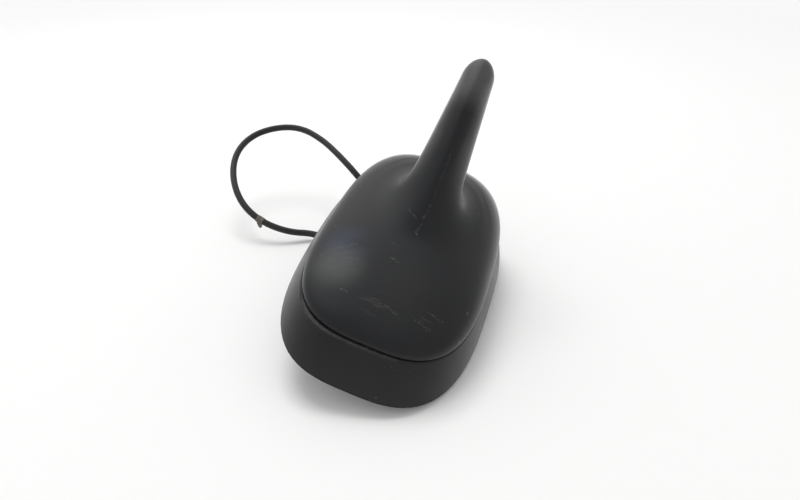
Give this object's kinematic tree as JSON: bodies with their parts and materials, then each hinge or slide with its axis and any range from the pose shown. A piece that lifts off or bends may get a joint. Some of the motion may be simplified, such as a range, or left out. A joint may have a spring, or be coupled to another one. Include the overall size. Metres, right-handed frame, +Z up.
{
  "type": "roof antenna",
  "caption": "Car roof antenna: a low rounded dome with a swept-back mast, a flared rubber skirt, a hollow fixing stud below and a thin coaxial lead with a plug.",
  "frame": {"origin": "on the stud's axis, in the plane of the roof that the skirt sits on", "axes": "+Z up, away from the roof; -Y is the front of the car, and the mast leans back towards +Y; +X is to the right when seen from the front"},
  "size_m": [0.1327, 0.1365, 0.1006],
  "materials": {
    "cover": "satin moulded plastic, rubbed and scuffed",
    "skirt": "smooth moulded rubber",
    "casting": "die cast, bare",
    "foam": "closed-cell foam",
    "steel": "zinc plated",
    "board": "solder mask",
    "ceramic": "fired ceramic",
    "brass": "plated",
    "tin": "tinned sheet",
    "chip": "moulded",
    "bracket": "moulded",
    "grommet": "moulded",
    "jacket": "extruded, dull",
    "copper": "drawn wire",
    "crimp": "moulded sleeve",
    "plug": "moulded",
    "insulator": "turned"
  },
  "bodies": {
    "root": {"antenna_cover": "cover", "rubber_skirt": "skirt", "base_plate": "casting", "stud_seal": "foam", "cover_gasket": "foam", "cover_screws": "steel", "circuit_board": "board", "board_screws": "steel", "gps_patch": "ceramic", "patch_feed_pin": "brass", "shield_can": "tin", "amplifier_chip": "chip", "mast_radiator": "brass", "radiator_bracket": "bracket", "cable_grommet": "grommet", "coax_lead": "jacket", "lead_ferrule": "brass", "lead_core": "copper", "coax_cable": "jacket", "connector_crimp": "crimp", "connector_housing": "plug", "connector_barrel": "brass", "connector_insulator": "insulator", "connector_pin": "brass"}
  },
  "joints": []
}
